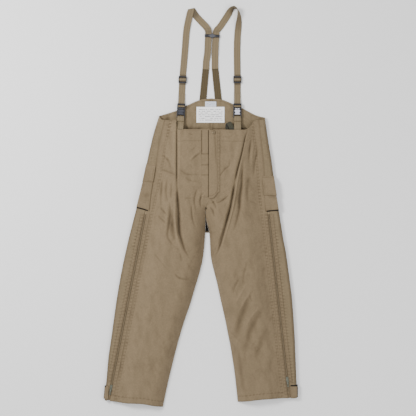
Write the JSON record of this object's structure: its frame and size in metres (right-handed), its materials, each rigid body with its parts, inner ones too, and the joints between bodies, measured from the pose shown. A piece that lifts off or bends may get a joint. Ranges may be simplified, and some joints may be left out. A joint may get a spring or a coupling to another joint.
{
  "type": "bunker pants",
  "caption": "Protective overtrousers with a raised back, side leg zips, cargo pockets, a covered fly and clip-on webbing suspenders, laid flat on their back.",
  "frame": {"origin": "on the floor under the middle of the garment's outline, as it lies on its back", "axes": "+X to the wearer's left, +Y from the hems up to the tops of the suspenders, +Z out of the front of the garment"},
  "size_m": [0.7815, 1.6062, 0.0459],
  "materials": {
    "shell_cloth": "matt khaki twill, softly creased",
    "webbing": "tan ribbed webbing",
    "elastic": "olive-brown ribbed elastic",
    "buckle_plastic": "satin black moulding",
    "zip_teeth": "dark olive moulded teeth",
    "zip_metal": "worn grey-green enamel",
    "label_cloth": "white woven label with plain grey rules",
    "small_label_cloth": "pale blue-grey label",
    "green_webbing": "dark green webbing"
  },
  "bodies": {
    "garment": {"right_front_panel": "shell_cloth", "right_back_panel": "shell_cloth", "left_front_panel": "shell_cloth", "left_back_panel": "shell_cloth", "crotch_gusset": "shell_cloth", "right_waist_facing": "shell_cloth", "left_waist_facing": "shell_cloth", "fly_underlap": "shell_cloth", "fly_zip_tape": "shell_cloth", "right_zip_tape": "shell_cloth", "left_zip_tape": "shell_cloth", "right_zip_welt_front": "shell_cloth", "right_zip_welt_back": "shell_cloth", "left_zip_welt_front": "shell_cloth", "left_zip_welt_back": "shell_cloth", "right_pocket": "shell_cloth", "left_pocket": "shell_cloth", "fly_zip_teeth": "zip_teeth", "right_zip_teeth": "zip_teeth", "left_zip_teeth": "zip_teeth", "right_elastic_strap": "elastic", "left_elastic_strap": "elastic", "right_shoulder_webbing": "webbing", "left_shoulder_webbing": "webbing", "right_anchor_webbing": "webbing", "left_anchor_webbing": "webbing", "right_buckle_socket": "buckle_plastic", "left_buckle_socket": "buckle_plastic", "care_label": "label_cloth", "size_label": "small_label_cloth", "hanging_loop": "green_webbing"},
    "yoke": {"yoke_slider": "buckle_plastic"},
    "right_adjuster": {"right_adjuster": "buckle_plastic", "right_adjuster_loop": "webbing"},
    "right_plug": {"right_buckle_plug": "buckle_plastic", "right_plug_loop": "webbing"},
    "right_prong_outer": {"right_prong_outer": "buckle_plastic"},
    "right_prong_inner": {"right_prong_inner": "buckle_plastic"},
    "left_adjuster": {"left_adjuster": "buckle_plastic", "left_adjuster_loop": "webbing"},
    "left_plug": {"left_buckle_plug": "buckle_plastic", "left_plug_loop": "webbing"},
    "left_prong_outer": {"left_prong_outer": "buckle_plastic"},
    "left_prong_inner": {"left_prong_inner": "buckle_plastic"},
    "right_zip": {"right_zip_slider": "zip_metal"},
    "right_zip_tab": {"right_zip_pull": "zip_metal"},
    "left_zip": {"left_zip_slider": "zip_metal"},
    "left_zip_tab": {"left_zip_pull": "zip_metal"},
    "fly_zip": {"fly_zip_slider": "zip_metal"},
    "fly_zip_tab": {"fly_zip_pull": "zip_metal"},
    "fly_cover": {"fly_flap": "shell_cloth", "fly_snap_cap": "buckle_plastic"},
    "right_pocket_cover": {"right_pocket_flap": "shell_cloth"},
    "left_pocket_cover": {"left_pocket_flap": "shell_cloth"},
    "right_tab": {"right_cuff_tab": "shell_cloth"},
    "left_tab": {"left_cuff_tab": "shell_cloth"}
  },
  "joints": [
    {"name": "yoke_slide", "type": "slide", "parent": "garment", "child": "yoke", "axis": [0.0499, 0.9988, 0], "range_m": [-0.055, 0]},
    {"name": "right_adjuster_slide", "type": "slide", "parent": "garment", "child": "right_adjuster", "axis": [0.0523, 0.9986, 0], "range_m": [-0.01, 0.09]},
    {"name": "right_buckle_release", "type": "slide", "parent": "garment", "child": "right_plug", "axis": [0.0523, 0.9986, 0], "range_m": [0, 0.022]},
    {"name": "right_prong_outer_squeeze", "type": "hinge", "parent": "right_plug", "child": "right_prong_outer", "pos_m": [-0.08859, 0.3905, 0.0096], "axis": [0, 0, 1], "range_deg": [0, 11], "stiffness_Nm_per_rad": 0.3},
    {"name": "right_prong_inner_squeeze", "type": "hinge", "parent": "right_plug", "child": "right_prong_inner", "pos_m": [-0.06941, 0.3895, 0.0096], "axis": [0, 0, 1], "range_deg": [-11, 0], "stiffness_Nm_per_rad": 0.3},
    {"name": "left_adjuster_slide", "type": "slide", "parent": "garment", "child": "left_adjuster", "axis": [0.0017, 1, 0], "range_m": [-0.01, 0.09]},
    {"name": "left_buckle_release", "type": "slide", "parent": "garment", "child": "left_plug", "axis": [0.0017, 1, 0], "range_m": [0, 0.022]},
    {"name": "left_prong_outer_squeeze", "type": "hinge", "parent": "left_plug", "child": "left_prong_outer", "pos_m": [0.1566, 0.38998, 0.0096], "axis": [0, 0, 1], "range_deg": [-11, 0], "stiffness_Nm_per_rad": 0.3},
    {"name": "left_prong_inner_squeeze", "type": "hinge", "parent": "left_plug", "child": "left_prong_inner", "pos_m": [0.1374, 0.39002, 0.0096], "axis": [0, 0, 1], "range_deg": [0, 11], "stiffness_Nm_per_rad": 0.3},
    {"name": "right_zip_slide", "type": "slide", "parent": "garment", "child": "right_zip", "axis": [0.1945, 0.9809, 0], "range_m": [0, 0.682]},
    {"name": "right_zip_pull_swing", "type": "hinge", "parent": "right_zip", "child": "right_zip_tab", "pos_m": [-0.35941, -0.7269, 0.0219], "axis": [-0.9809, 0.1945, 0], "range_deg": [0, 150]},
    {"name": "left_zip_slide", "type": "slide", "parent": "garment", "child": "left_zip", "axis": [-0.1116, 0.9937, 0], "range_m": [0, 0.641]},
    {"name": "left_zip_pull_swing", "type": "hinge", "parent": "left_zip", "child": "left_zip_tab", "pos_m": [0.34688, -0.69497, 0.0219], "axis": [-0.9937, -0.1116, 0], "range_deg": [0, 150]},
    {"name": "fly_zip_slide", "type": "slide", "parent": "garment", "child": "fly_zip", "axis": [0, 1, 0], "range_m": [-0.22, 0]},
    {"name": "fly_zip_pull_swing", "type": "hinge", "parent": "fly_zip", "child": "fly_zip_tab", "pos_m": [0.043, 0.281, 0.0393], "axis": [-1, 0, 0], "range_deg": [0, 2]},
    {"name": "fly_flap_open", "type": "hinge", "parent": "garment", "child": "fly_cover", "pos_m": [0.0765, 0.1725, 0.0392], "axis": [0, 1, 0], "range_deg": [0, 150]},
    {"name": "right_pocket_flap_open", "type": "hinge", "parent": "garment", "child": "right_pocket_cover", "pos_m": [-0.198, 0.172, 0.02], "axis": [-1, 0, 0], "range_deg": [0, 140]},
    {"name": "left_pocket_flap_open", "type": "hinge", "parent": "garment", "child": "left_pocket_cover", "pos_m": [0.27, 0.123, 0.02], "axis": [-1, 0, 0], "range_deg": [0, 140]},
    {"name": "right_cuff_tab_open", "type": "hinge", "parent": "garment", "child": "right_tab", "pos_m": [-0.3876, -0.742, 0.0098], "axis": [-0.0932, -0.9956, 0], "range_deg": [0, 150]},
    {"name": "left_cuff_tab_open", "type": "hinge", "parent": "garment", "child": "left_tab", "pos_m": [0.38979, -0.738, 0.0098], "axis": [-0.0141, 0.9999, 0], "range_deg": [0, 150]}
  ],
  "couplings": [
    {"joint": "right_prong_inner_squeeze", "follows": "right_prong_outer_squeeze", "ratio": -1},
    {"joint": "left_prong_inner_squeeze", "follows": "left_prong_outer_squeeze", "ratio": -1}
  ]
}
